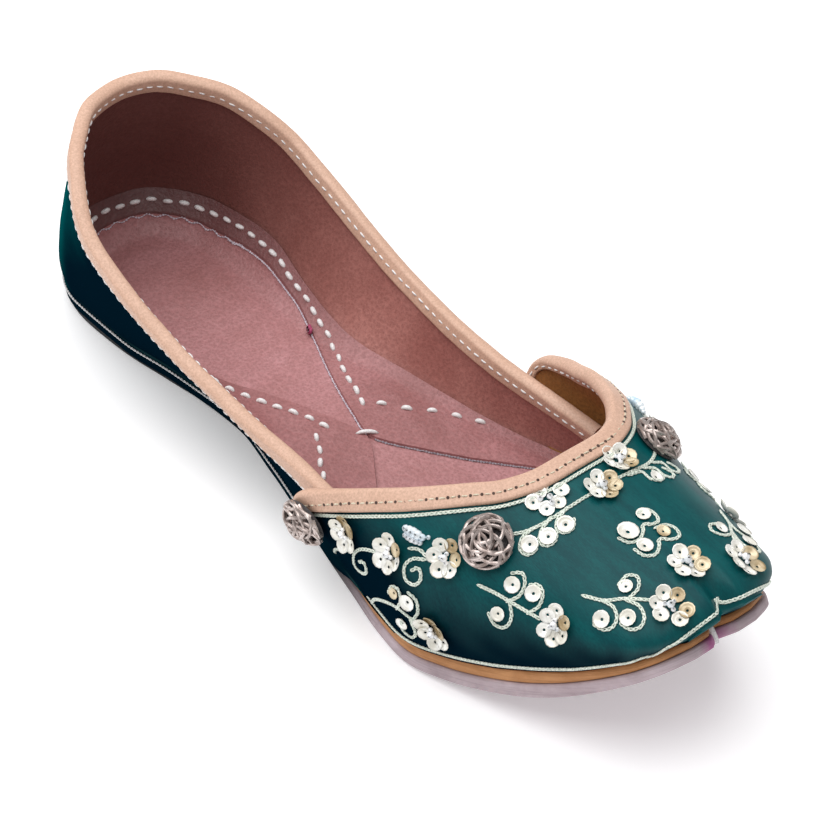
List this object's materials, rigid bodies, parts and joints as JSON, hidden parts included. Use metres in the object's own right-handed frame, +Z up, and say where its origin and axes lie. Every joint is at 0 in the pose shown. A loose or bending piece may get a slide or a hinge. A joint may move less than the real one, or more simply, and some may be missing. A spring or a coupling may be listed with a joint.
{
  "type": "mojari shoe",
  "caption": "Flat embroidered satin slip-on shoe with a leather sole, bound collar and throat, and an upturned two-lobed toe.",
  "frame": {"origin": "bottom centre of the shoe's bounding box, on the plane it stands on", "axes": "+Z up; -Y towards the toe, +Y towards the heel; -X towards the wearer's right"},
  "size_m": [0.0946, 0.2506, 0.0659],
  "materials": {
    "satin": "teal satin, soft sheen",
    "tan": "pinkish tan binding leather, satin",
    "lining": "reddish brown grained leather",
    "midsole": "tan cut leather edge",
    "outsole": "pale cut leather, matt",
    "wire": "dull silver-brown coiled wire"
  },
  "bodies": {
    "root": {"outsole": "outsole", "midsole": "midsole", "insole": "lining", "upper": "satin", "collar_binding": "tan", "throat_binding": "tan", "rosette_right": "wire", "rosette_centre": "wire", "rosette_left": "wire"}
  },
  "joints": []
}
